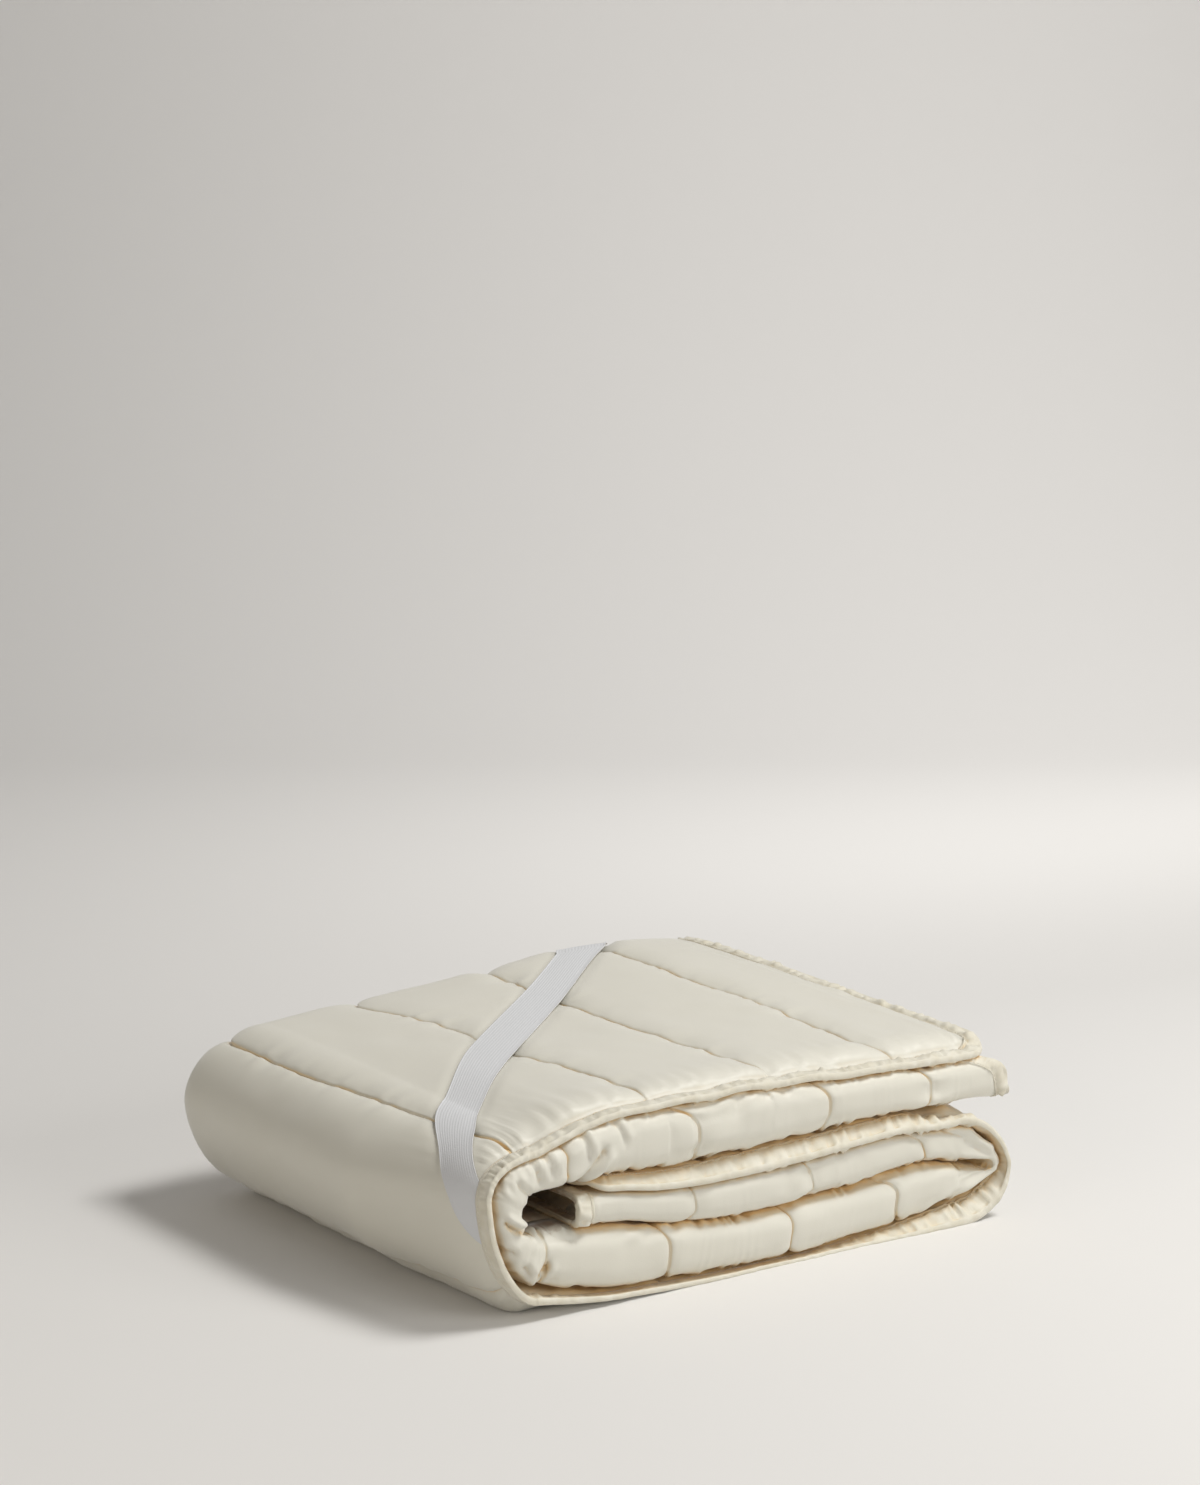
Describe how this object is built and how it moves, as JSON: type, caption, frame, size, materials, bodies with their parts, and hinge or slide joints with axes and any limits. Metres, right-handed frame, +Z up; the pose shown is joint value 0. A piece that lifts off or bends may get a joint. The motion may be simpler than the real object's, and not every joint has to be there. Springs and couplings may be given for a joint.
{
  "type": "folded quilted mattress protector",
  "caption": "Quilted mattress protector folded in three and rolled up into a flat bundle, with a bound edge and an elastic strap across it",
  "frame": {"origin": "bottom centre of the bundle's bounding box, on the surface that it lies on", "axes": "+X along the rolled strip towards the tight turn, +Y from the hemmed front edge to the back, +Z up"},
  "size_m": [0.6632, 0.5194, 0.2096],
  "materials": {
    "quilted_cotton": "cream cotton sateen with a soft sheen, sewn in channels over a fibre filling",
    "binding_cotton": "cream cotton tape, folded over the edge and stitched",
    "elastic": "matte light grey woven elastic with paler selvedges"
  },
  "bodies": {
    "root": {"quilted_pad": "quilted_cotton", "edge_binding": "binding_cotton", "elastic_strap": "elastic"}
  },
  "joints": []
}
